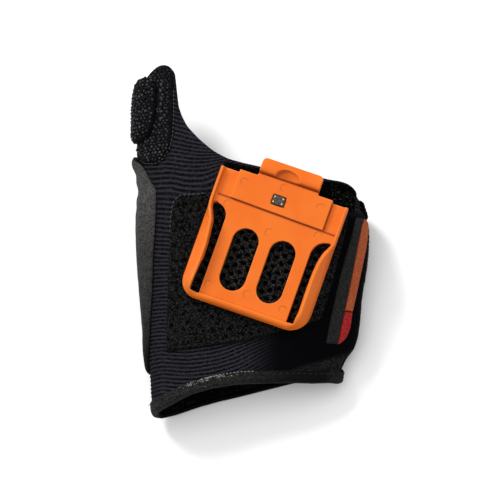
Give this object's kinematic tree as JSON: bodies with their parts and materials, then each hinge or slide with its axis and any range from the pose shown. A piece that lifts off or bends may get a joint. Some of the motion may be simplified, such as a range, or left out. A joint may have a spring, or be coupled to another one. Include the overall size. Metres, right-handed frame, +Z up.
{
  "type": "scanner glove",
  "caption": "Fingerless right-hand glove with an index-finger trigger flap and an orange plastic holder for a wearable scanner on the back of the hand.",
  "frame": {"origin": "under the middle of the glove's box, on the surface it lies on", "axes": "+Y from the wrist to the fingers, +X from the thumb side to the little-finger side, +Z up out of the back of the hand"},
  "size_m": [0.089, 0.131, 0.0368],
  "materials": {
    "rib_knit": "ribbed knit",
    "spacer_mesh": "open spacer mesh",
    "binding": "smooth folded elastic",
    "thumb_band": "smooth stretch fabric",
    "loop_fabric": "velvety loop pile",
    "hook_fabric": "rough hook-and-loop edge",
    "grip_fabric": "woven with silicone dots",
    "trigger_fabric": "woven with silicone dots over a pad",
    "label_dark": "smooth coated strip",
    "label_orange": "smooth coated strip",
    "label_red": "smooth coated strip",
    "holder_plastic": "satin moulded",
    "contact_plastic": "moulded",
    "contact_gold": "gold plated"
  },
  "bodies": {
    "root": {"hand_sleeve": "rib_knit", "back_mesh_pad": "spacer_mesh", "wrist_binding": "binding", "thumb_binding": "thumb_band", "knuckle_band": "loop_fabric", "closure_edge": "hook_fabric", "grip_patch": "grip_fabric", "trigger_pad": "trigger_fabric", "side_label": "label_dark", "side_stripe": "label_orange", "side_stripe_end": "label_red", "scanner_holder": "holder_plastic", "contact_block": "contact_plastic", "contact_pin_1": "contact_gold", "contact_pin_2": "contact_gold", "contact_pin_3": "contact_gold", "contact_pin_4": "contact_gold"}
  },
  "joints": []
}
